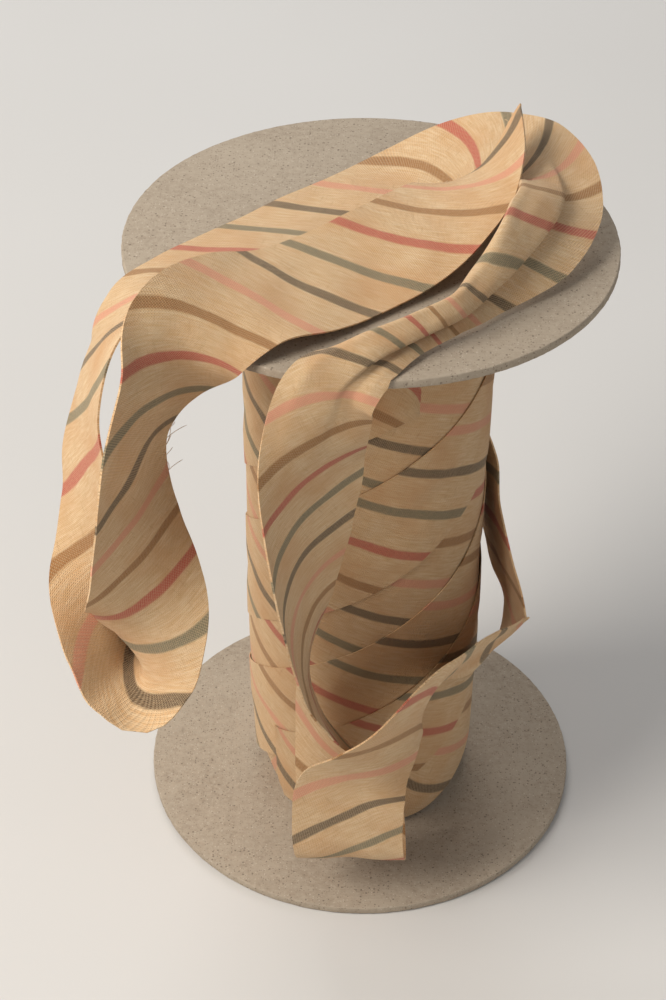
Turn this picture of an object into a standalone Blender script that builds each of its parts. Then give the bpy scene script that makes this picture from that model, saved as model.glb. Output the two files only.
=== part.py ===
"""A reel of striped cotton ribbon: a paper core between two round greyboard flanges, the ribbon
wound on it, and the loose end of the ribbon hanging in two loops and lying over the top flange.

Metres, +Z up. The origin is on the reel's axis, at the underside of the bottom flange.
"""

import math

import bmesh
import bpy
from mathutils import Vector

# Driving dimensions, in metres.
FLANGE_RADIUS = 0.042
REEL_HEIGHT = 0.123
BOARD = 0.0016
CORE_RADIUS = 0.015
CORE_WALL = 0.0015
WINDING_RADIUS = 0.0225
WINDING_END_RADIUS = 0.0185
WINDING_TAPER = 0.009
RIBBON_WIDTH = 0.020
TAIL_THICKNESS = 0.0006
GAP = 0.0003
RIM_SOFTENING = 0.00025
SEGMENTS = 96
TAIL_STEP = 0.004

TOP_FLANGE_UNDERSIDE = REEL_HEIGHT - BOARD

# The route of the loose ribbon, from where it leaves the winding to its free end, in millimetres:
# the middle of the ribbon (x, y, z), then the direction across it (x, y, z), from edge B to edge A.
TAIL_ROUTE = (
    (28, 4, 41, -2, 2, 10), (29, -14, 44, -1, 5, 8), (19, -29, 46, 1, 9, 2), (11, -35, 40, -1, 10, 0),
    (6, -38, 32, 0, 9, 2), (-1, -40, 27, 0, 9, 2), (-7, -42, 35, 1, 9, 2), (-10, -45, 47, 3, 9, 1),
    (-10, -46, 62, 4, 8, 0), (-10, -46, 76, 5, 7, 0), (-9, -47, 90, 6, 6, 0), (-8, -48, 103, 7, 5, 0),
    (-7, -48, 116, 8, 3, 0), (-4, -42, 126, 8, 1, 0), (4, -34, 127.5, 7, -5, 1), (10, -25, 129, 6, -7, 3),
    (19, -16, 130, 7, -6, -1), (26, -6, 131, 8, -4, -3), (31, 5, 132, 9, -1, -4), (30, 16, 134, 8, 4, -3),
    (25, 23, 135, 5, 8, -3), (18, 25, 133, 2, 9, -3), (8, 20, 129, -4, 8, -1), (-2, 10, 126, -6, 7, 0),
    (-12, 0, 125.5, -7, 7, 0), (-21, -10, 127, -6, 7, -1), (-29, -18, 130, -5, 7, -2),
    (-36, -25, 130, -5, 8, -3), (-41, -32, 125, -5, 8, -3), (-43, -37, 115, -6, 7, 0),
    (-43, -39, 102, -7, 6, 0), (-43, -41, 90, -7, 3, 0), (-42, -43, 79, -6, -6, 0),
    (-42, -45, 71, -3, -9, -2), (-38, -47, 66, 0, -9, -2), (-33, -49, 71, 3, -9, -2),
    (-34, -51, 80, 7, -6, 0), (-34, -51, 91, 8, 1, 0), (-36, -49, 102, 6, 6, 0), (-35, -46.5, 113, 4, 8, -2),
    (-32, -43, 123.5, 5, 6, -4), (-24, -36, 131.5, 7, 0, -4), (-15, -27.5, 135, 7, -6, 0),
    (-6, -17, 134, 7, -7, 0), (2, -7, 136, 7, -7, 1), (9, 1, 138, 8, -5, 1), (13, 8, 139, 9, -3, 1),
    (15, 14, 140, 9, 0, 1),
)

# The stretches that the loose ribbon is divided into, each with the number of its last station.
TAIL_STRETCHES = (
    ("tail_front_loop_right", 5), ("tail_front_loop_left", 9), ("tail_front_drop", 13),
    ("tail_front_strip", 18), ("tail_rear_arch", 22), ("tail_rear_strip", 26), ("tail_left_drop", 31),
    ("tail_left_loop", 36), ("tail_left_rise", 41), ("tail_top_strip", 44), ("tail_free_end", 47),
)

MATERIALS = {
    "greyboard": ((0.310, 0.255, 0.205, 1.0), 0.93),
    "core_paper": ((0.360, 0.270, 0.180, 1.0), 0.90),
    "paper_tape": ((0.620, 0.520, 0.360, 1.0), 0.75),
    "ribbon_cloth": ((0.620, 0.430, 0.250, 1.0), 0.92),
}


def clear_scene():
    for thing in list(bpy.data.objects):
        bpy.data.objects.remove(thing, do_unlink=True)


def material(name):
    """The Principled BSDF of one of the reel's materials; none of them is metal."""
    made = bpy.data.materials.get(name)
    if made:
        return made
    colour, roughness = MATERIALS[name]
    made = bpy.data.materials.new(name)
    made.use_nodes = True
    shader = made.node_tree.nodes["Principled BSDF"]
    shader.inputs["Base Color"].default_value = colour
    shader.inputs["Roughness"].default_value = roughness
    shader.inputs["Metallic"].default_value = 0.0
    return made


def add_object(name, shape, material_name, smooth_angle=30):
    """Closes a bmesh into a named object with outward faces, smooth on its round sides."""
    bmesh.ops.remove_doubles(shape, verts=shape.verts, dist=1e-6)
    bmesh.ops.recalc_face_normals(shape, faces=shape.faces)
    mesh = bpy.data.meshes.new(name)
    shape.to_mesh(mesh)
    shape.free()
    mesh.shade_smooth()
    mesh.set_sharp_from_angle(angle=math.radians(smooth_angle))
    mesh.materials.append(material(material_name))
    made = bpy.data.objects.new(name, mesh)
    bpy.context.scene.collection.objects.link(made)
    return made


def turned(name, outline, material_name, segments=SEGMENTS):
    """A solid of revolution about Z, from a closed outline of (radius, height) corners."""
    shape = bmesh.new()
    corners = [shape.verts.new((radius, 0.0, height)) for radius, height in outline]
    edges = [shape.edges.new((corners[i - 1], corners[i])) for i in range(len(corners))]
    bmesh.ops.spin(
        shape,
        geom=corners + edges,
        cent=(0.0, 0.0, 0.0),
        axis=(0.0, 0.0, 1.0),
        angle=math.tau,
        steps=segments,
        use_merge=True,
    )
    return add_object(name, shape, material_name)


def disc(name, radius, thickness, underside, material_name):
    """A flat round piece with softened rims, standing at the height of its underside."""
    shape = bmesh.new()
    bmesh.ops.create_cone(
        shape,
        cap_ends=True,
        segments=SEGMENTS,
        radius1=radius,
        radius2=radius,
        depth=thickness,
    )
    rims = [edge for edge in shape.edges if abs(edge.verts[0].co.z - edge.verts[1].co.z) < 1e-9]
    bmesh.ops.bevel(shape, geom=rims, offset=RIM_SOFTENING, segments=1, affect="EDGES")
    made = add_object(name, shape, material_name)
    made.location.z = underside + thickness / 2
    return made


def flanges():
    """The two greyboard flanges, and the smaller disc glued under each to centre it in the core."""
    disc("bottom_flange", FLANGE_RADIUS, BOARD, 0.0, "greyboard")
    disc("top_flange", FLANGE_RADIUS, BOARD, TOP_FLANGE_UNDERSIDE, "greyboard")
    fitting_radius = CORE_RADIUS - CORE_WALL - GAP
    disc("bottom_locating_disc", fitting_radius, BOARD, BOARD + GAP, "greyboard")
    disc(
        "top_locating_disc",
        fitting_radius,
        BOARD,
        TOP_FLANGE_UNDERSIDE - GAP - BOARD,
        "greyboard",
    )


def core():
    """The spiral-wound paper tube that carries the ribbon."""
    foot = BOARD + GAP
    head = TOP_FLANGE_UNDERSIDE - GAP
    bore = CORE_RADIUS - CORE_WALL
    turned(
        "core_tube",
        ((CORE_RADIUS, foot), (CORE_RADIUS, head), (bore, head), (bore, foot)),
        "core_paper",
    )


def start_tape():
    """The strip of paper tape that holds the ribbon's inner end on the core."""
    length, width, thickness = 0.030, 0.012, 0.0002
    middle = REEL_HEIGHT / 2
    inner = CORE_RADIUS + GAP
    shape = bmesh.new()
    steps = 16
    rings = []
    for step in range(steps + 1):
        turn = (step / steps - 0.5) * length / inner
        across, along = math.cos(turn), math.sin(turn)
        ring = [
            shape.verts.new((radius * across, radius * along, middle + side * width / 2))
            for radius, side in ((inner, -1), (inner + thickness, -1), (inner + thickness, 1), (inner, 1))
        ]
        rings.append(ring)
    join_rings(shape, rings)
    add_object("start_tape", shape, "paper_tape")


def join_rings(shape, rings):
    """Skins a row of equal rings and closes both its ends."""
    for before, after in zip(rings, rings[1:]):
        for i in range(len(before)):
            shape.faces.new((before[i - 1], before[i], after[i], after[i - 1]))
    shape.faces.new(rings[0])
    shape.faces.new(rings[-1])


def winding():
    """The ribbon wound on the core: full in the middle, and tapered towards both flanges."""
    foot = BOARD + GAP
    head = TOP_FLANGE_UNDERSIDE - GAP
    inner = CORE_RADIUS + 3 * GAP
    turned(
        "wound_ribbon",
        (
            (WINDING_END_RADIUS, foot),
            (WINDING_RADIUS - 0.001, foot + WINDING_TAPER / 2),
            (WINDING_RADIUS, foot + WINDING_TAPER),
            (WINDING_RADIUS, head - WINDING_TAPER),
            (WINDING_RADIUS - 0.001, head - WINDING_TAPER / 2),
            (WINDING_END_RADIUS, head),
            (inner, head),
            (inner, foot),
        ),
        "ribbon_cloth",
    )


def between(before, start, end, after, part):
    """A point of the smooth curve through four stations, part of the way from start to end."""
    square, cube = part * part, part * part * part
    return (
        2 * start
        + (end - before) * part
        + (2 * before - 5 * start + 4 * end - after) * square
        + (3 * start - before - 3 * end + after) * cube
    ) / 2


def smooth_route():
    """Points along the whole route, about every TAIL_STEP: (middle, across, station or None)."""
    middles = [Vector(station[:3]) / 1000 for station in TAIL_ROUTE]
    across = [Vector(station[3:]).normalized() for station in TAIL_ROUTE]
    last = len(TAIL_ROUTE) - 1
    points = []
    for i in range(last):
        before, after = max(i - 1, 0), min(i + 2, last)
        steps = max(2, round((middles[i + 1] - middles[i]).length / TAIL_STEP))
        for step in range(steps):
            middle, side = (
                between(row[before], row[i], row[i + 1], row[after], step / steps)
                for row in (middles, across)
            )
            points.append((middle, side, None if step else i))
    points.append((middles[-1], across[-1], last))
    return points


def tail_stretch(name, sections):
    """One stretch of the loose ribbon: a flat closed strip through (middle, side, face, along)."""
    shape = bmesh.new()
    rings = []
    for i, (middle, side, face, along) in enumerate(sections):
        inset = along * GAP * ((i == 0) - (i == len(sections) - 1))
        rings.append([
            shape.verts.new(middle + inset + corner)
            for corner in (-side - face, side - face, side + face, -side + face)
        ])
    join_rings(shape, rings)
    bmesh.ops.triangulate(shape, faces=shape.faces)
    add_object(name, shape, "ribbon_cloth")


def tail():
    """The loose ribbon, in the stretches of TAIL_STRETCHES, with a small gap between each two."""
    points = smooth_route()
    last = len(points) - 1
    sections = []
    places = {}
    for i, (middle, across, station) in enumerate(points):
        along = (points[min(i + 1, last)][0] - points[max(i - 1, 0)][0]).normalized()
        side = (across - along * across.dot(along)).normalized()
        face = side.cross(along) * (TAIL_THICKNESS / 2)
        sections.append((middle, side * (RIBBON_WIDTH / 2), face, along))
        places[station] = i
    first = 0
    for name, station in TAIL_STRETCHES:
        tail_stretch(name, sections[first:places[station] + 1])
        first = places[station]


clear_scene()
flanges()
core()
start_tape()
winding()
tail()
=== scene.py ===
import bpy, math, random
import numpy as np
from mathutils import Matrix, Vector, noise


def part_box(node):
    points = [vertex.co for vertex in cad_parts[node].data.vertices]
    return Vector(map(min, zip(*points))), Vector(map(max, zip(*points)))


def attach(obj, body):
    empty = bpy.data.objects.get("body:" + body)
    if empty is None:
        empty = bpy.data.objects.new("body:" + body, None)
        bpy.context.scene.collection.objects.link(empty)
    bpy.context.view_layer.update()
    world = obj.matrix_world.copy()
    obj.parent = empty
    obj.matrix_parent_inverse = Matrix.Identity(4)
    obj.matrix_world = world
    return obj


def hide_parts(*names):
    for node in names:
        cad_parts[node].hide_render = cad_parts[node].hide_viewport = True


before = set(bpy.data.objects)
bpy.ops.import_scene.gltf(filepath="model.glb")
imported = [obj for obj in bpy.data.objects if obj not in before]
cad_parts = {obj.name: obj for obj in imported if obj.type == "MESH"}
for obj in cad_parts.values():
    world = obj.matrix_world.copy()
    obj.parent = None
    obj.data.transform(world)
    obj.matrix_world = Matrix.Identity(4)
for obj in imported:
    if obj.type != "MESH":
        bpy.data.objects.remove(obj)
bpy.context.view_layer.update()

# Sizes are in metres. Where cloth is measured out, they are in mm and multiplied by MM.
MM = 0.001
TOP_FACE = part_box("top_flange")[1].z / MM          # upper face of the top board, in mm
FLANGE_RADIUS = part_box("top_flange")[1].x / MM     # in mm
RIBBON_WIDTH = 20.0                                # cut width of the ribbon, in mm
HALF_WIDTH = RIBBON_WIDTH / 2
CLOTH = 0.32                                       # thickness of the loose cotton, in mm
WOUND_CLOTH = 0.2                                  # thickness of the cotton pulled tight on the reel, in mm
WEAVE_PITCH = 0.43                                 # from thread to thread, in mm
STRIPE_REPEAT = 52.0                               # length of ribbon in which the five stripes repeat, in mm
STRIPE_LEAN = 0.7                                  # how far a stripe runs along the ribbon for each mm across it
STRIPE_HALF = 1.12                                 # half a stripe's breadth, in mm
STRIPE_SOFT = 0.16                                 # how far its edge fades, in mm
STRIPE_START = 9.0                                 # where the stripe order begins on the loose ribbon, in mm
WOUND_STRIPE_START = 12                            # and on the wound ribbon


# ---------------------------------------------------------------- helpers

def clear_selection():
    """Nothing is selected, and Blender is in object mode."""
    if bpy.context.object and bpy.context.object.mode != "OBJECT":
        bpy.ops.object.mode_set(mode="OBJECT")
    bpy.ops.object.select_all(action="DESELECT")


def pick_alone(piece):
    clear_selection()
    piece.select_set(True)
    bpy.context.view_layer.objects.active = piece


def settle(piece):
    """The piece's place goes into its mesh, and its object to the origin."""
    pick_alone(piece)
    bpy.ops.object.transform_apply(location=True, rotation=True, scale=True)


def finish_modifier(piece, kind, name, **values):
    """A modifier is added and made part of the mesh."""
    modifier = piece.modifiers.new(name, kind)
    for key, value in values.items():
        setattr(modifier, key, value)
    pick_alone(piece)
    bpy.ops.object.modifier_apply(modifier=modifier.name)


def wear(piece, finish):
    """The piece gets its finish, and rides with the reel."""
    piece.data.materials.clear()
    piece.data.materials.append(finish)
    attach(piece, "root")


# ---------------------------------------------------------------- node shorthand

class Nodes:
    """Adds and links the nodes of one material."""

    def __init__(self, name):
        self.material = bpy.data.materials.new(name)
        self.material.use_nodes = True
        self.tree = self.material.node_tree
        self.shader = self.tree.nodes["Principled BSDF"]

    def add(self, kind, **values):
        node = self.tree.nodes.new(kind)
        for key, value in values.items():
            setattr(node, key, value)
        return node

    def link(self, a, b):
        self.tree.links.new(a, b)

    def put(self, value, socket):
        if hasattr(value, "is_output"):
            self.link(value, socket)
        else:
            socket.default_value = value

    def sum(self, operation, a, b=0.0, c=0.0, clamp=False):
        node = self.add("ShaderNodeMath", operation=operation, use_clamp=clamp)
        self.put(a, node.inputs[0])
        self.put(b, node.inputs[1])
        if operation == "MULTIPLY_ADD":
            self.put(c, node.inputs[2])
        return node.outputs[0]

    def noise(self, vector, scale, detail=2.0, roughness=0.5):
        node = self.add("ShaderNodeTexNoise")
        self.put(vector, node.inputs["Vector"])
        node.inputs["Scale"].default_value = scale
        node.inputs["Detail"].default_value = detail
        node.inputs["Roughness"].default_value = roughness
        return node.outputs["Fac"]

    def ramp(self, value, stops, interpolation="LINEAR"):
        node = self.add("ShaderNodeValToRGB")
        self.put(value, node.inputs[0])
        node.color_ramp.interpolation = interpolation
        elements = node.color_ramp.elements
        while len(elements) > 1:
            elements.remove(elements[-1])
        for index, (place, colour) in enumerate(stops):
            element = elements[0] if index == 0 else elements.new(place)
            element.position = place
            element.color = (*colour, 1)
        return node.outputs[0]

    def mix(self, share, a, b, blend="MIX"):
        node = self.add("ShaderNodeMix", data_type="RGBA", blend_type=blend)
        self.put(share, node.inputs[0])
        for value, socket in ((a, node.inputs[6]), (b, node.inputs[7])):
            if isinstance(value, tuple):
                value = (*value, 1)
            self.put(value, socket)
        return node.outputs[2]

    def bump(self, height, distance, strength, under=None):
        node = self.add("ShaderNodeBump")
        node.inputs["Distance"].default_value = distance
        node.inputs["Strength"].default_value = strength
        self.link(height, node.inputs["Height"])
        if under is not None:
            self.link(under, node.inputs["Normal"])
        return node.outputs[0]


def tone(r, g, b):
    """A colour as the eye names it, 0 to 255, to the light it sends back."""
    def one(c):
        c /= 255
        return c / 12.92 if c <= 0.04045 else ((c + 0.055) / 1.055) ** 2.4
    return (one(r), one(g), one(b))


# ---------------------------------------------------------------- finishes

CLOTH_GROUND = tone(212, 170, 122)
CLOTH_PALE = tone(234, 206, 166)
CLOTH_DARK = tone(178, 126, 78)
# in the order in which they follow each other along the ribbon
STRIPES = [
    tone(62, 48, 36),       # dark brown
    tone(98, 98, 78),       # grey green
    tone(186, 66, 58),      # red
    tone(150, 96, 42),      # ochre
    tone(222, 146, 118),    # pink
]
OUT_OF_STRIPE, IN_STRIPE = (0, 0, 0), (1, 1, 1)


def striped_cotton(name, shade=1.0):
    """Plain-woven cotton cut on the bias, with five woven stripes that follow the thread."""
    n = Nodes(name)
    n.shader.inputs["Roughness"].default_value = 0.86
    n.shader.inputs["Specular IOR Level"].default_value = 0.22
    n.shader.inputs["Sheen Weight"].default_value = 0.28
    n.shader.inputs["Sheen Roughness"].default_value = 0.45
    n.shader.inputs["Sheen Tint"].default_value = (1.0, 0.86, 0.68, 1)
    uv = n.add("ShaderNodeUVMap", uv_map="cloth_mm")
    split = n.add("ShaderNodeSeparateXYZ")
    n.link(uv.outputs[0], split.inputs[0])
    across, along = split.outputs[0], split.outputs[1]
    # thread directions: one lies along the stripe, the other crosses it
    turn = n.add("ShaderNodeVectorRotate", rotation_type="Z_AXIS")
    n.link(uv.outputs[0], turn.inputs["Vector"])
    turn.inputs["Angle"].default_value = -math.atan(STRIPE_LEAN)
    thread = n.add("ShaderNodeSeparateXYZ")
    n.link(turn.outputs[0], thread.inputs[0])
    with_stripe, over_stripe = thread.outputs[0], thread.outputs[1]

    def stretched(sx, sy):
        node = n.add("ShaderNodeMapping")
        n.link(turn.outputs[0], node.inputs["Vector"])
        node.inputs["Scale"].default_value = (sx, sy, 1)
        return node.outputs[0]

    wander = n.noise(stretched(0.25, 1.6), 1.0, 3.0, 0.6)
    wobble = n.sum("MULTIPLY_ADD", wander, 0.5, -0.25)
    place = n.sum("MULTIPLY_ADD", across, -STRIPE_LEAN, along)
    place = n.sum("ADD", place, wobble)
    repeat = n.sum("FRACT", n.sum("DIVIDE", place, STRIPE_REPEAT))
    half = STRIPE_HALF / STRIPE_REPEAT
    soft = STRIPE_SOFT / STRIPE_REPEAT
    where, paint = [(0.0, OUT_OF_STRIPE)], []
    for index, colour in enumerate(STRIPES):
        middle = (index + 0.5) / len(STRIPES)
        where += [(middle - half - soft, OUT_OF_STRIPE), (middle - half + soft, IN_STRIPE),
                  (middle + half - soft, IN_STRIPE), (middle + half + soft, OUT_OF_STRIPE)]
        paint.append((index / len(STRIPES), colour))
    in_stripe = n.ramp(repeat, where)
    stripe_colour = n.ramp(repeat, paint, "CONSTANT")
    # slubs and uneven dye, drawn out along both threads
    slub_along = n.noise(stretched(0.28, 2.9), 1.0, 3.0, 0.65)
    slub_across = n.noise(stretched(2.9, 0.30), 1.0, 3.0, 0.65)
    patches = n.noise(uv.outputs[0], 0.09, 2.0, 0.5)
    ground = n.mix(n.sum("MULTIPLY_ADD", slub_along, 3.0, -1.15, clamp=True), CLOTH_GROUND, CLOTH_PALE)
    ground = n.mix(n.sum("MULTIPLY_ADD", slub_across, -3.4, 1.45, clamp=True), ground, CLOTH_DARK)
    ground = n.mix(n.sum("MULTIPLY_ADD", patches, 2.2, -0.95, clamp=True), ground, tone(204, 146, 92))
    fine = n.noise(stretched(1.2, 5.0), 1.0, 2.0, 0.7)
    cover = n.sum("MULTIPLY", in_stripe, n.sum("MULTIPLY_ADD", fine, 0.7, 0.55, clamp=True))
    colour = n.mix(cover, ground, stripe_colour)
    # the weave itself: rows of over and under, with painted shade in the hollows between threads and a painted
    # highlight where the threads rise
    wave_a = n.sum("SINE", n.sum("MULTIPLY", with_stripe, 2 * math.pi / WEAVE_PITCH))
    wave_b = n.sum("SINE", n.sum("MULTIPLY", over_stripe, 2 * math.pi / WEAVE_PITCH))
    weave = n.sum("MULTIPLY", wave_a, wave_b)
    rows = n.sum("ADD", n.sum("ABSOLUTE", wave_a), n.sum("ABSOLUTE", wave_b))
    hollow = n.sum("MULTIPLY_ADD", rows, -0.9, 1.0, clamp=True)
    colour = n.mix(n.sum("MULTIPLY", hollow, 0.75), colour, tone(112, 74, 42))
    lit = n.sum("MULTIPLY_ADD", weave, 0.22, 0.16, clamp=True)
    colour = n.mix(lit, colour, tone(244, 214, 170))
    # shade below 1 multiplies the whole cloth darker and a little warmer: painted shade, used for the wound turns
    if shade != 1.0:
        colour = n.mix(1.0, colour, (shade, shade * 0.97, shade * 0.93), "MULTIPLY")
    n.link(colour, n.shader.inputs["Base Color"])
    height = n.sum("ADD", n.sum("MULTIPLY", weave, 0.5), n.sum("MULTIPLY", rows, 0.5))
    height = n.sum("ADD", height, n.sum("MULTIPLY", slub_along, 1.6))
    crumple = n.bump(n.noise(uv.outputs[0], 0.35, 3.0, 0.5), 0.0006, 0.35)
    n.link(n.bump(height, 0.00012, 0.8, crumple), n.shader.inputs["Normal"])
    return n.material


def grey_board(name, ground, light, dark, speck):
    """Recycled board: pressed fibres, dark and pale specks, a slightly uneven face."""
    n = Nodes(name)
    n.shader.inputs["Roughness"].default_value = 0.93
    n.shader.inputs["Specular IOR Level"].default_value = 0.18
    place = n.add("ShaderNodeTexCoord").outputs["Object"]
    cloud = n.noise(place, 45.0, 4.0, 0.6)
    grain = n.noise(place, 900.0, 5.0, 0.75)
    colour = n.mix(n.sum("MULTIPLY_ADD", cloud, 1.8, -0.5, clamp=True), ground, light)
    colour = n.mix(n.sum("MULTIPLY_ADD", grain, 3.4, -1.35, clamp=True), colour, light)
    colour = n.mix(n.sum("MULTIPLY_ADD", grain, -3.6, 1.45, clamp=True), colour, dark)
    specks = ((1150.0, 0.22, speck, 0.55), (2300.0, 0.26, dark, 0.7), (1700.0, 0.2, tone(206, 194, 176), 0.5))
    for scale, limit, ink, share in specks:
        cells = n.add("ShaderNodeTexVoronoi", feature="F1")
        n.link(place, cells.inputs["Vector"])
        cells.inputs["Scale"].default_value = scale
        spot = n.sum("LESS_THAN", cells.outputs["Distance"], limit)
        chance = n.add("ShaderNodeSeparateColor")
        n.link(cells.outputs["Color"], chance.inputs[0])
        spot = n.sum("MULTIPLY", spot, n.sum("GREATER_THAN", chance.outputs[0], 0.62))
        colour = n.mix(n.sum("MULTIPLY", spot, share), colour, ink)
    fibres = n.add("ShaderNodeMapping")
    n.link(place, fibres.inputs["Vector"])
    fibres.inputs["Scale"].default_value = (300, 2200, 2600)
    fibres.inputs["Rotation"].default_value = (0, 0, 0.5)
    strand = n.noise(fibres.outputs[0], 1.0, 3.0, 0.6)
    colour = n.mix(n.sum("MULTIPLY_ADD", strand, 5.0, -3.0, clamp=True), colour, light)
    n.link(colour, n.shader.inputs["Base Color"])
    rough = n.bump(grain, 0.00025, 0.55)
    n.link(n.bump(strand, 0.0002, 0.35, rough), n.shader.inputs["Normal"])
    return n.material


def spiral_paper(name, ground, seam):
    """Paper wound on the slant, with the laps of its strips showing."""
    laps_per_metre = 24.0
    n = Nodes(name)
    n.shader.inputs["Roughness"].default_value = 0.8
    place = n.add("ShaderNodeTexCoord").outputs["Object"]
    split = n.add("ShaderNodeSeparateXYZ")
    n.link(place, split.inputs[0])
    turn = n.sum("ARCTAN2", split.outputs[1], split.outputs[0])
    turns_up = n.sum("MULTIPLY", split.outputs[2], laps_per_metre)
    lap = n.sum("FRACT", n.sum("ADD", turns_up, n.sum("DIVIDE", turn, 2 * math.pi)))
    fibre = n.noise(place, 1400.0, 4.0, 0.7)
    paler = tuple(min(1, c * 1.35) for c in ground)
    colour = n.mix(n.sum("MULTIPLY_ADD", fibre, 2.5, -0.8, clamp=True), ground, paler)
    colour = n.mix(n.sum("LESS_THAN", lap, 0.025), colour, seam)
    n.link(colour, n.shader.inputs["Base Color"])
    n.link(n.bump(n.sum("ADD", n.sum("MULTIPLY", lap, 1.5), fibre), 0.00015, 0.5), n.shader.inputs["Normal"])
    return n.material


def thread_cotton(name):
    """Spun cotton thread, paler where it is thick."""
    n = Nodes(name)
    n.shader.inputs["Roughness"].default_value = 0.9
    n.shader.inputs["Sheen Weight"].default_value = 0.3
    place = n.add("ShaderNodeTexCoord").outputs["Object"]
    spin = n.noise(place, 2600.0, 2.0, 0.6)
    colour = n.mix(n.sum("MULTIPLY_ADD", spin, 2.0, -0.5, clamp=True), tone(192, 148, 98), tone(232, 204, 160))
    n.link(colour, n.shader.inputs["Base Color"])
    n.link(n.bump(spin, 0.00003, 0.6), n.shader.inputs["Normal"])
    return n.material


cotton = striped_cotton("striped_cotton")
loose_cotton = thread_cotton("loose_cotton_thread")
# the wound turns wear the same cloth darkened to 0.86 and warmed: painted shade
wound_cotton_in_painted_shade = striped_cotton("wound_striped_cotton_painted_shade", 0.86)
board = grey_board("greyboard_face", ground=tone(154, 139, 121), light=tone(176, 162, 143),
                   dark=tone(118, 103, 88), speck=tone(84, 70, 58))
kraft = spiral_paper("kraft_core_paper", ground=tone(158, 132, 102), seam=tone(96, 76, 56))
tape_paper = grey_board("paper_tape", ground=tone(200, 176, 138), light=tone(216, 196, 160),
                        dark=tone(180, 152, 112), speck=tone(160, 130, 92))


# ---------------------------------------------------------------- boards

def round_board(name, flange, seed):
    """A punched disc of greyboard with a worn corner and a slightly ragged rim."""
    low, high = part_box(flange)
    radius = FLANGE_RADIUS * MM
    clear_selection()
    bpy.ops.mesh.primitive_cylinder_add(vertices=360, radius=radius, depth=high.z - low.z,
                                        location=(0, 0, (low.z + high.z) / 2), end_fill_type="NGON")
    piece = bpy.context.object
    piece.name = name
    finish_modifier(piece, "BEVEL", "worn_corner", width=0.00028, segments=3,
                    limit_method="ANGLE", angle_limit=math.radians(50))
    rim = radius - 0.0004
    for vertex in piece.data.vertices:
        place = vertex.co
        reach = math.hypot(place.x, place.y)
        if reach > rim:
            turn = math.atan2(place.y, place.x)
            rag = noise.noise(Vector((math.cos(turn) * 38, math.sin(turn) * 38, place.z * 2600 + seed)))
            fine = noise.noise(Vector((math.cos(turn) * 160, math.sin(turn) * 160, place.z * 5200 + seed)))
            pull = 1 - (0.00007 + 0.00007 * rag + 0.00006 * fine) / radius
            place.x *= pull
            place.y *= pull
        place.z += 0.00005 * noise.noise(Vector((place.x * 60, place.y * 60, seed)))
    settle(piece)
    bpy.ops.object.shade_smooth_by_angle(angle=math.radians(35))
    wear(piece, board)
    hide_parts(flange)


# ---------------------------------------------------------------- the ribbon's way

def curve_through(rows, steps):
    """A smooth curve through the rows, at even steps along its first three values."""
    rows = np.array(rows, float)
    gaps = np.linalg.norm(np.diff(rows[:, :3], axis=0), axis=1)
    at = np.concatenate([[0], np.cumsum(gaps)])
    slope = np.zeros_like(rows)
    slope[0] = (rows[1] - rows[0]) / gaps[0]
    slope[-1] = (rows[-1] - rows[-2]) / gaps[-1]
    for i in range(1, len(rows) - 1):
        before = (rows[i] - rows[i - 1]) / gaps[i - 1]
        after = (rows[i + 1] - rows[i]) / gaps[i]
        slope[i] = (before * gaps[i] + after * gaps[i - 1]) / (gaps[i] + gaps[i - 1])
    out = []
    for s in np.linspace(0, at[-1], steps):
        i = min(int(np.searchsorted(at, s, side="right")) - 1, len(rows) - 2)
        h = gaps[i]
        u = (s - at[i]) / h
        out.append((2 * u**3 - 3 * u**2 + 1) * rows[i] + (u**3 - 2 * u**2 + u) * h * slope[i]
                   + (3 * u**2 - 2 * u**3) * rows[i + 1] + (u**3 - u**2) * h * slope[i + 1])
    return np.array(out)


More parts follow.
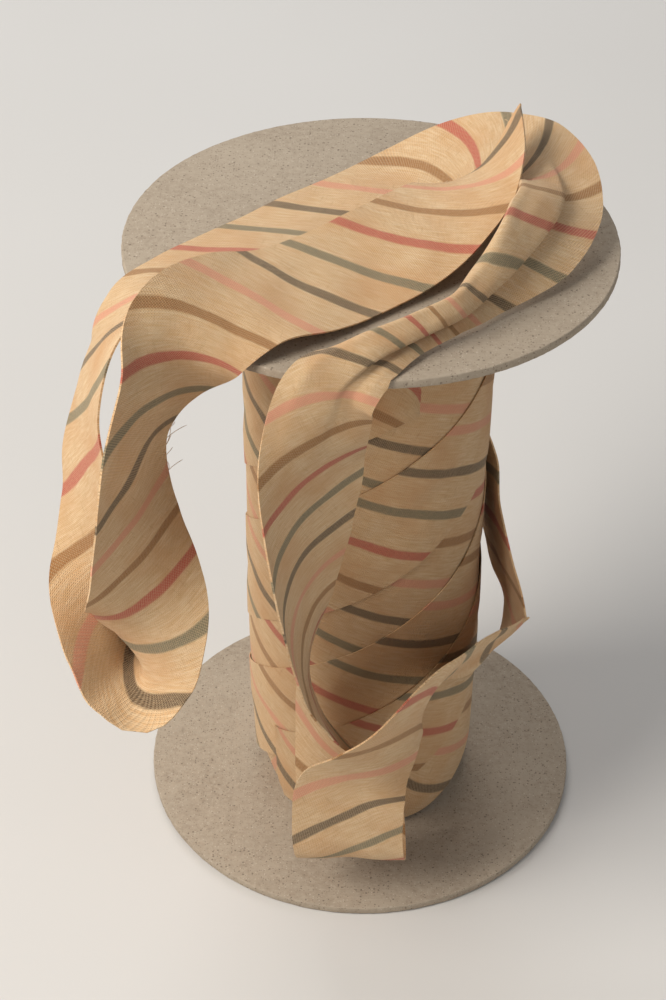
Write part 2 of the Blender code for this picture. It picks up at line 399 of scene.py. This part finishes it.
# Where the loose ribbon goes, in mm, from the winding to its cut end. Each row is the middle of the ribbon, the way
# from its edge B to its edge A, how far it bows towards its face, how far it is pleated (0 flat, 1 fully folded),
# how far it is pinched (0 to 1), and how much cloth the folds have taken up by then.
WAY = [
    (11.3, 19.4, 74, 4.3, -2.5, 8.7, 0, 0, 0, 0),
    (17.9, 15, 69.5, 3.2, -3.8, 8.7, 0, 0, 0, 0),
    (21.9, 8.8, 65, 1.9, -4.6, 8.7, 0, 0, 0, 0),
    (23.8, 2.5, 60, 0.4, -5.2, 8.5, 0, 0, 0, 0),
    (26, -3, 54, 1, -7, 7, 0, 0, 0, 0),
    (28, -7, 48.5, 1, -7.2, 6.8, 0, 0, 0, 0),
    (28, -10.5, 44.8, 2, -6, 7.5, 0, 0, 0, 0),
    (25.5, -14, 44, 4, -2.5, 8.8, 0, 0, 0, 0),
    (21.5, -18.5, 46, 5.5, -1.2, 7.8, 0, 0, 0, 0),
    (17.5, -25, 48.8, 5, -1.5, 8, 0, 0, 0, 0),
    (14, -31.5, 50.5, 3.5, -2.5, 8.5, 0, 0, 0, 0),
    (11, -37, 50, -3, -8, 6, 0, 0, 0, 0),
    (7.5, -41, 47, -5, -7, 5, 0, 0, 0, 0),
    (3, -43, 42, -8, -5, 3, 0, 0, 0, 0),
    (-1, -43.5, 36, -10, -1, 1, 0, 0, 0, 0),
    (-2, -43.5, 26, -10, 0, 0, 0, 0, 0, 0),
    (-1.5, -42, 16, -10, 0, 0, 0, 0, 0, 0),
    (-1, -37, 11.5, -10, 0, 0, 0, 0, 0, 0),
    (-1.5, -32, 17, -10, 1, 0, 0, 0, 0, 0),
    (-3, -31, 27, -9, 4, 0, 0, 0, 0, 0),
    (-5, -31.5, 37, -7, 7, 0, 0, 0, 0, 0),
    (-6.5, -35, 47, -4, 9, 0, -1, 0, 0, 0),
    (-7.5, -39, 56, -1, 10, 0, -2, 0, 0, 0),
    (-8.5, -42.5, 66, 1.5, 10, 0, -2, 0, 0, 0),
    (-9, -45, 76, 3.5, 9.5, 0, -3, 0, 0, 0),
    (-9, -47.5, 90, 6, 8, 0, -3, 0, 0, 0),
    (-8.5, -48.5, 103, 7, 6, -1, -2, 0, 0, 0),
    (-8, -48.5, 115, 7.5, 4, -1.5, 0, 0, 0.08, 4),
    (-5.8, -44.5, 123, 7.5, 1.5, -0.5, 0.5, 0, 0.3, 8),
    (0.3, -39.5, 126.6, 8, -2, -2, 1, 0, 0.7, 11),
    (7.2, -34.3, 127.8, 7, -4, -4, 0.5, 0.1, 1, 18),
    (14, -29.5, 128.5, 7, -3, -6, 0, 0.4, 1, 33),
    (18.5, -24.5, 129, 7, -2, -7, 0, 1, 0.7, 40),
    (23.5, -18.5, 130, 7, 0, -6.5, 0, 1, 0.3, 40),
    (28, -11.5, 130.8, 8, 1, -5.5, 0, 1, 0, 40),
    (30.8, -5, 131.5, 8.5, 1.5, -4.5, 0, 1, 0, 40),
    (31.5, 1, 132, 9, 2, -3, 0, 0.8, 0, 42),
    (29.5, 6.5, 132.8, 9, 3, 0, 0, 0.4, 0, 46),
    (25.5, 11, 132.8, 7.5, 6, 2.5, 0, 0, 0, 52),
    (20.5, 14.5, 131.3, 4.5, 8.5, 3.5, 0, 0, 0, 57),
    (14.5, 16.8, 128.3, 0, 9, 3, 0, 0, 0, 60),
    (7.5, 15.8, 125.8, -5, 8, 0.5, 0, 0, 0, 61),
    (0, 9.5, 125, -7, 7, 0, 0, 0, 0, 61),
    (-10, 0.5, 124.8, -7, 7, 0, 0, 0, 0, 61),
    (-20, -9.5, 126, -6, 7, -1, 0, 0, 0, 61),
    (-29, -19, 126.2, -5, 7, -1, 0, 0, 0, 61),
    (-36, -26, 126.5, -4.5, 8, -3, 0, 0, 0, 61),
    (-41, -32, 123.5, -3.2, 8, -5, 0, 0, 0, 61),
    (-44, -37, 114.5, -3.2, 8, -5, 0, 0, 0, 61),
    (-44.5, -40, 104.5, -4.5, 7.5, -3, 0, 0, 0, 61),
    (-43, -41.5, 95, -6.5, 6.5, 0, 0, 0, 0, 59),
    (-42, -42, 86, -8, 3, 0, 0, 0, 0, 57),
    (-42, -42.5, 78.5, -8, -3, 0, 0, 0, 0, 55),
    (-42, -44.5, 71.5, -5.5, -8, -1, 0, 0, 0, 53),
    (-40, -46.5, 66, -2.5, -9.5, -1, 0, 0, 0, 51),
    (-37, -48, 66, 3, -9, -1, 0, 0, 0, 51),
    (-35.5, -49, 71, 7.5, -6, -1, 0, 0, 0, 51),
    (-35, -49.5, 78, 9.5, -3, 0, 0, 0, 0, 51),
    (-35.3, -49.5, 87, 8.8, 4.5, 0, 0, 0, 0, 51),
    (-36, -48.5, 96, 6, 8, 0, 0, 0, 0, 54),
    (-36.5, -46.5, 105, 4.5, 9, 0, 0, 0, 0, 58),
    (-35.5, -45, 113, 4.5, 8.5, -2, 0, 0, 0, 56),
    (-32, -41.5, 121, 5.5, 6.5, -4.5, 0, 0, 0, 57),
    (-27, -36, 128, 6.5, -2.5, -5, 0, 0, 0, 60),
    (-20, -29.5, 129.3, 6.8, -6, -3.4, 0, 0, 0, 62),
    (-11.5, -23.5, 127.5, 6.8, -6.8, -2.7, 0, 0, 0, 63),
    (-2.8, -16.2, 127, 6.8, -6.8, -2.7, 0, 0, 0, 63),
    (5, -9.5, 128, 6.8, -6.8, -2.5, 0, 0, 0, 63),
    (11, -3, 129.3, 6.8, -7, -1, 0, 0, 0, 64),
    (15.5, 3, 131, 6.5, -7, 1.5, 0, 0, 0, 67),
    (17.8, 7.5, 132, 5.5, -6.5, 4.5, 0, 0, 0, 71),
    (18.6, 11.5, 132.5, 5, -6.2, 6, 0, 0, 0, 74),
    (18.6, 15.5, 132.5, 5, -6, 6, 0, 0, 0, 74),
]

# The ribbon's section where it is folded, in mm: cloth measured from edge B, its place across, and its height.
PLEATED = [
    (0, -5.6, -1.4), (2.4, -7.7, -0.5), (2.9, -7.9, 0.1), (3.4, -7.6, 0.5), (7, -4, 0.9), (11, -0.2, 0.6),
    (11.6, 0.2, 0.2), (12, -0.1, -0.3), (13.6, -1.2, -0.8), (14.2, -1.0, -1.3), (15.4, 1.0, -1.2), (20, 7.4, -0.9),
]
PINCHED = [
    (0, 0.5, -3.0), (3, -2.0, -1.0), (4, -2.3, 0.2), (5, -1.8, 0.8), (8.5, 0.6, 0.5),
    (11, 1.8, -0.4), (13, 0.2, -1.8), (15.5, 0.3, -2.4), (17.5, 1.8, -2.0), (20, 3.4, -2.6),
]


def section(cloth, bow, pleat, pinch):
    """Place across the ribbon and height for each measure of cloth, in mm."""
    flat = cloth - HALF_WIDTH
    k = bow / HALF_WIDTH
    u = flat * (1 - 2 / 3 * k * k)
    n = bow * (1 - (flat / HALF_WIDTH) ** 2) - bow / 3
    for share, shape in ((pleat, PLEATED), (pinch, PINCHED)):
        share = min(max(share, 0), 1)
        if share > 0:
            table = np.array(shape)
            u = u * (1 - share) + share * np.interp(cloth, table[:, 0], table[:, 1])
            n = n * (1 - share) + share * np.interp(cloth, table[:, 0], table[:, 2])
    return u, n


def frames_along(rows, steps):
    """The ribbon's middle, the way ahead, the way across and the way its face looks, and what the rows say beside."""
    even = [(r[0], r[1], r[2], *(10 * Vector(r[3:6]).normalized()), *r[6:]) for r in rows]
    road = curve_through(even, steps)
    middle = road[:, :3]
    ahead = np.gradient(middle, axis=0)
    ahead /= np.linalg.norm(ahead, axis=1, keepdims=True)
    side = road[:, 3:6]
    side = side - (side * ahead).sum(1, keepdims=True) * ahead
    side /= np.linalg.norm(side, axis=1, keepdims=True)
    face = np.cross(side, ahead)
    return middle, ahead, side, face, road[:, 6:]


def length_along(middle):
    """How far along the line each of its points is."""
    return np.concatenate([[0], np.cumsum(np.linalg.norm(np.diff(middle, axis=0), axis=1))])


def cloth_grid(name, grid, across, along):
    """A strip of cloth from rows of points in mm, with its flat measures in mm as its map."""
    rows, columns, _ = grid.shape
    points = [tuple(p * MM) for p in grid.reshape(-1, 3)]
    faces = [(r * columns + c, r * columns + c + 1, (r + 1) * columns + c + 1, (r + 1) * columns + c)
             for r in range(rows - 1) for c in range(columns - 1)]
    mesh = bpy.data.meshes.new(name)
    mesh.from_pydata(points, [], faces)
    layer = mesh.uv_layers.new(name="cloth_mm")
    flat = np.zeros((len(mesh.loops), 2))
    corner = np.zeros(len(mesh.loops), int)
    mesh.loops.foreach_get("vertex_index", corner)
    flat[:, 0] = across.reshape(-1)[corner]
    flat[:, 1] = along.reshape(-1)[corner]
    layer.data.foreach_set("uv", flat.reshape(-1))
    piece = bpy.data.objects.new(name, mesh)
    bpy.context.scene.collection.objects.link(piece)
    return piece


def faces_outwards(piece):
    """On a closed mesh."""
    pick_alone(piece)
    bpy.ops.object.mode_set(mode="EDIT")
    bpy.ops.mesh.select_all(action="SELECT")
    bpy.ops.mesh.normals_make_consistent(inside=False)
    bpy.ops.object.mode_set(mode="OBJECT")


def thicken(piece, thick):
    """The strip gets its thickness, half on each side."""
    finish_modifier(piece, "SOLIDIFY", "cloth_thickness", thickness=thick * MM, offset=0, use_even_offset=False)
    faces_outwards(piece)
    bpy.ops.object.shade_smooth_by_angle(angle=math.radians(60))


def thread_tube(line, thick):
    """Points and faces of one closed thread along a line of points, in mm. It is thinner at its tip."""
    sides = 5
    tip = 0.45
    line = np.array(line)
    ahead = np.gradient(line, axis=0)
    ahead /= np.linalg.norm(ahead, axis=1, keepdims=True)
    points, faces = [], []
    for i, (place, way) in enumerate(zip(line, ahead)):
        first = np.cross(way, (0.31, 0.52, 0.79))
        first /= np.linalg.norm(first)
        second = np.cross(way, first)
        size = thick / 2 * (tip if i == len(line) - 1 else 1)
        for k in range(sides):
            turn = 2 * math.pi * k / sides
            points.append(tuple((place + size * (first * math.cos(turn) + second * math.sin(turn))) * MM))
    for i in range(len(line) - 1):
        for k in range(sides):
            a, b = i * sides + k, i * sides + (k + 1) % sides
            faces.append((a, b, b + sides, a + sides))
    faces.append(tuple(range(sides))[::-1])
    faces.append(tuple(range(len(points) - sides, len(points))))
    return points, faces


def frayed_threads(grid, ahead, face):
    """Thread ends at the cut, and a few that have worked loose along edge A where the ribbon comes up to the board."""
    thread = 0.10
    at_the_cut, along_the_edge = 26, 7
    random.seed(7)
    starts = []
    for _ in range(at_the_cut):
        c = random.randrange(grid.shape[1])
        way = ahead[-1] * random.uniform(0.7, 1.0) + face[-1] * random.uniform(-0.4, 0.4)
        starts.append((grid[-1, c], way, random.uniform(0.8, 2.4)))
    edge = grid[:, -1]
    # the stretch that comes up in front of the left rim, 13 to 23 mm below the board's face
    rising = [i for i in range(len(edge))
              if -37 < edge[i, 0] < -30 and 100 < edge[i, 2] < 110 and i > len(edge) * 0.7]
    for _ in range(along_the_edge):
        i = random.choice(rising)
        out = edge[i] - grid[i, -6]
        way = out / np.linalg.norm(out) + ahead[i] * random.uniform(-0.9, 0.9)
        starts.append((edge[i], way, random.uniform(2.0, 6.0)))
    points, faces = [], []
    for start, way, long in starts:
        way = np.array(way) / np.linalg.norm(way)
        curl = np.array([random.uniform(-1, 1) for _ in range(3)])
        droop = np.array((0, 0, -0.25))
        line = [start - way * 0.4 + way * long * t + curl * long * 0.35 * t * t + droop * long * t * t
                for t in np.linspace(0, 1, 8)]
        more_points, more_faces = thread_tube(line, thread)
        faces += [tuple(len(points) + v for v in f) for f in more_faces]
        points += more_points
    mesh = bpy.data.meshes.new("frayed_threads")
    mesh.from_pydata(points, [], faces)
    piece = bpy.data.objects.new("frayed_threads", mesh)
    bpy.context.scene.collection.objects.link(piece)
    faces_outwards(piece)
    bpy.ops.object.shade_smooth()
    wear(piece, loose_cotton)
    return piece


def loose_ribbon():
    """The loose end, from where it leaves the winding to its cut end."""
    steps, columns = 760, 33
    middle, ahead, side, face, extra = frames_along(WAY, steps)
    cloth = np.linspace(0, RIBBON_WIDTH, columns)
    grid = np.zeros((steps, columns, 3))
    across = np.zeros((steps, columns))
    along = np.zeros((steps, columns))
    length = length_along(middle)
    for r in range(steps):
        bow, pleat, pinch, taken = extra[r]
        u, n = section(cloth, bow, pleat, pinch)
        grid[r] = middle[r] + np.outer(u, side[r]) + np.outer(n, face[r])
        across[r] = cloth
        along[r] = length[r] + taken + STRIPE_START
        # the cloth is soft, and never lies quite smooth
        for c in range(columns):
            in_the_room = Vector(grid[r, c]) * 0.06
            on_the_cloth = Vector((along[r, c] * 0.11, cloth[c] * 0.16, 3.0))
            grid[r, c] += face[r] * (noise.noise(in_the_room) * 0.4 + noise.noise(on_the_cloth) * 0.35)
    # the free end is cut along a thread, so edge A runs on further than edge B
    slant_over = 60
    ease = np.clip((length - (length[-1] - slant_over)) / slant_over, 0, 1)
    ease = ease * ease * (3 - 2 * ease)
    for c in range(columns):
        slant_end = length - (RIBBON_WIDTH - cloth[c]) * STRIPE_LEAN * ease
        for axis in range(3):
            grid[:, c, axis] = np.interp(slant_end, length, grid[:, c, axis].copy())
        along[:, c] = np.interp(slant_end, length, along[:, c].copy())
    # what lies over the board rests on it
    past_rim, lying_height, reach_below = 0.6, 0.3, 9
    reach = np.hypot(grid[..., 0], grid[..., 1])
    lift = np.where(reach < FLANGE_RADIUS + past_rim, TOP_FACE + lying_height, -np.inf)
    above = grid[..., 2] > TOP_FACE - reach_below
    grid[..., 2] = np.where(above, np.maximum(grid[..., 2], lift), grid[..., 2])
    piece = cloth_grid("loose_ribbon", grid, across, along)
    thicken(piece, CLOTH)
    wear(piece, cotton)
    threads = frayed_threads(grid, ahead, face)
    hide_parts(*[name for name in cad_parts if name.startswith("tail_")])


# ---------------------------------------------------------------- the wound ribbon

def end_taper(radius, end):
    """The winding is slimmer in the last 10 mm before each board. Both in mm."""
    return radius - 1.9 * (1 - min(max(end / 10, 0), 1)) ** 2


def inner_turns():
    """The turns below the top layers, as one hollow drum. It stops 2 mm short of the core tube, where nothing shows."""
    radius = 20.2                        # in mm
    around_it = 20                       # mm of cloth for each radian round the drum
    wall, off_boards = 0.003, 0.0004
    low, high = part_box("wound_ribbon")
    clear_selection()
    bpy.ops.mesh.primitive_cylinder_add(vertices=6, radius=radius * MM, depth=high.z - low.z - off_boards,
                                        location=(0, 0, (low.z + high.z) / 2), end_fill_type="NOTHING")
    piece = bpy.context.object
    piece.name = "inner_turns"
    bpy.ops.object.mode_set(mode="EDIT")
    bpy.ops.mesh.select_all(action="SELECT")
    bpy.ops.mesh.subdivide(number_cuts=23)
    bpy.ops.object.mode_set(mode="OBJECT")
    settle(piece)
    for vertex in piece.data.vertices:
        end = min(vertex.co.z - low.z, high.z - vertex.co.z) / MM
        slim = end_taper(radius, end) * MM / math.hypot(vertex.co.x, vertex.co.y)
        vertex.co.x *= slim
        vertex.co.y *= slim
    finish_modifier(piece, "SOLIDIFY", "drum_wall", thickness=wall, offset=-1.0)
    layer = piece.data.uv_layers.new(name="cloth_mm")
    for loop in piece.data.loops:
        place = piece.data.vertices[loop.vertex_index].co
        layer.data[loop.index].uv = ((place.z / MM) % RIBBON_WIDTH, math.atan2(place.y, place.x) * around_it)
    bpy.ops.object.shade_smooth_by_angle(angle=math.radians(40))
    wear(piece, wound_cotton_in_painted_shade)


def neighbours(field, steps=5, columns=1):
    """The field and its copies moved by a few steps along and a column across, one after the other."""
    wide = np.pad(field, ((steps, steps), (columns, columns)), mode="edge")
    for i in range(2 * steps + 1):
        for j in range(2 * columns + 1):
            yield wide[i:i + field.shape[0], j:j + field.shape[1]]


def wound_turns():
    """The outer layers: one ribbon that runs down and up the reel at a slant, each pass laid on what is there."""
    low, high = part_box("wound_ribbon")
    # all in mm
    off_board = 0.25                     # room between cloth and board
    turning = 10.4                       # from the winding's end to the ribbon's middle where it turns back
    bottom, top = low.z / MM + turning, high.z / MM - turning
    floor_z, roof_z = low.z / MM + off_board, high.z / MM - off_board
    passes, steps, columns = 9, 260, 17
    turn_of_pass = math.radians(432)
    start_turn = math.radians(150)
    r = 22.0                             # on which the slant is measured out
    lowest = 20.9                        # what the first pass is laid on
    layer_rise = 0.26                    # cloth and the air under it
    fuller, unevenness = 0.07, 0.10      # how the cloth swells in its middle and how it wanders
    # a pass slows down a little before it turns back
    ease = 0.988
    least = math.acos(ease) / math.pi
    cloth = np.linspace(0, RIBBON_WIDTH, columns)
    # how high the layers already stand, over angle and height, in mm
    slots, floors = 180, 124
    stack = np.zeros((slots, floors))
    for f in range(floors):
        stack[:, f] = end_taper(lowest, min(f - floor_z, roof_z - f))
    layers = [None] * passes
    # the rising passes lie below the falling ones
    order = [i for i in range(passes) if i % 2] + [i for i in range(passes) if i % 2 == 0]
    for index in order:
        t = np.linspace(index, index + 1, steps + 1)
        swing = (np.arccos(np.cos(np.pi * t) * ease) / np.pi - least) / (1 - 2 * least)
        height = top - (top - bottom) * swing
        angle = start_turn - t * turn_of_pass
        middle = np.stack([r * np.cos(angle), r * np.sin(angle), height], axis=1)
        ahead = np.gradient(middle, axis=0)
        ahead /= np.linalg.norm(ahead, axis=1, keepdims=True)
        out = np.stack([np.cos(angle), np.sin(angle), np.zeros_like(angle)], axis=1)
        side = np.cross(ahead, out)
        side /= np.linalg.norm(side, axis=1, keepdims=True)
        side *= np.sign(side[:, 2:3])
        spot = middle[:, None, :] + side[:, None, :] * (cloth[None, :, None] - HALF_WIDTH)
        round_way = np.stack([-np.sin(angle), np.cos(angle), 0 * angle], axis=1)
        around = angle[:, None] + (spot * round_way[:, None, :]).sum(2) / r
        level = np.clip(spot[..., 2], floor_z, roof_z)
        a = (np.degrees(around) / 360 * slots).astype(int) % slots
        f = np.clip(level.astype(int), 0, floors - 1)
        # the cloth bridges what it lies on, and is a little fuller in its middle
        tall = np.maximum.reduce(list(neighbours(stack[a, f] + layer_rise)))
        shifted = list(neighbours(tall))
        smooth = sum(shifted) / len(shifted)
        for i in range(len(t)):
            for c in range(columns):
                crown = fuller * (1 - ((cloth[c] - HALF_WIDTH) / HALF_WIDTH) ** 2)
                here = Vector((math.cos(around[i, c]) * 1.6, math.sin(around[i, c]) * 1.6,
                               level[i, c] * 0.07 + 9 * index))
                smooth[i, c] += crown + unevenness * noise.noise(here)
        for da in (-1, 0, 1):
            for df in (-1, 0, 1):
                np.maximum.at(stack, ((a + da) % slots, np.clip(f + df, 0, floors - 1)), smooth)
        layers[index] = (smooth, around, level)
    # each pass ends where the next begins, and that row is kept once
    keep = [slice(0, steps)] * (passes - 1) + [slice(0, steps + 1)]
    radius, around, level = (np.concatenate([layer[part][k] for layer, k in zip(layers, keep)])
                             for part in range(3))
    # the ribbon changes layer gently where it turns back at the boards
    reach = 9
    for join in range(1, passes):
        i = join * steps
        for k in range(-reach, reach + 1):
            share = 0.5 - 0.5 * math.cos(math.pi * (k + reach) / (2 * reach))
            radius[i + k] = radius[i - reach] * (1 - share) + radius[i + reach] * share
    grid = np.stack([radius * np.cos(around), radius * np.sin(around), level], axis=2)
    length = length_along(grid[:, columns // 2])
    across = np.repeat(cloth[None, :], len(grid), axis=0)
    along = np.repeat(length[:, None], columns, axis=1) + WOUND_STRIPE_START
    piece = cloth_grid("wound_turns", grid, across, along)
    thicken(piece, WOUND_CLOTH)
    wear(piece, wound_cotton_in_painted_shade)
    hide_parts("wound_ribbon")


# ---------------------------------------------------------------- camera, floor and light

def soft_light(name, place, target, size, power, colour):
    """A round lamp that looks at the target."""
    data = bpy.data.lights.new(name, "AREA")
    data.shape = "DISK"
    data.size = size
    data.energy = power
    data.color = colour
    lamp = bpy.data.objects.new(name, data)
    lamp.location = place
    lamp.rotation_euler = (Vector(target) - lamp.location).to_track_quat("-Z", "Y").to_euler()
    bpy.context.scene.collection.objects.link(lamp)


def set_the_camera():
    data = bpy.data.cameras.new("view")
    data.lens = 77.04
    data.sensor_width = 36
    data.sensor_fit = "AUTO"
    data.clip_start = 0.01
    data.clip_end = 20
    camera = bpy.data.objects.new("view", data)
    bpy.context.scene.collection.objects.link(camera)
    right = Vector((0.99966, 0.02491, 0.00712))
    up = Vector((-0.02106, 0.62127, 0.78332))
    back = right.cross(up).normalized()
    up = back.cross(right).normalized()
    turn = Matrix((right.normalized(), up, back)).transposed().to_4x4()
    camera.matrix_world = Matrix.Translation((0, -0.310, 0.3124)) @ turn
    bpy.context.scene.camera = camera


def set_the_floor():
    clear_selection()
    bpy.ops.mesh.primitive_plane_add(size=3.0, location=(0, 0, -0.0002))
    floor = bpy.context.object
    floor.name = "floor"
    n = Nodes("pale_floor")
    n.shader.inputs["Roughness"].default_value = 0.9
    place = n.add("ShaderNodeTexCoord").outputs["Object"]
    shade = n.mix(n.noise(place, 6.0, 2.0, 0.5), tone(206, 203, 198), tone(214, 211, 206))
    n.link(shade, n.shader.inputs["Base Color"])
    floor.data.materials.append(n.material)
    settle(floor)


def set_the_light():
    soft_light("window", (-0.55, -0.30, 0.62), (0, 0, 0.09), 0.5, 7.6, (1.0, 0.96, 0.91))
    soft_light("room", (0.60, -0.55, 0.45), (0, 0, 0.06), 0.8, 1.3, (1.0, 0.98, 0.96))
    soft_light("back", (-0.10, 0.65, 0.55), (0, 0, 0.10), 0.6, 2.6, (0.97, 0.98, 1.0))
    world = bpy.data.worlds.new("room_light")
    world.use_nodes = True
    background = world.node_tree.nodes["Background"]
    background.inputs["Color"].default_value = (0.80, 0.82, 0.86, 1)
    background.inputs["Strength"].default_value = 0.27
    bpy.context.scene.world = world
    bpy.context.scene.view_settings.view_transform = "Standard"


# ---------------------------------------------------------------- all together

set_the_camera()
set_the_floor()
set_the_light()
round_board("top_board", "top_flange", 11)
round_board("bottom_board", "bottom_flange", 23)
inner_turns()
wound_turns()
loose_ribbon()
carried_over = {
    "bottom_locating_disc": board,
    "top_locating_disc": board,
    "core_tube": kraft,
    "start_tape": tape_paper,
}
for name, finish in carried_over.items():
    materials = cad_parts[name].data.materials
    materials.clear()
    materials.append(finish)
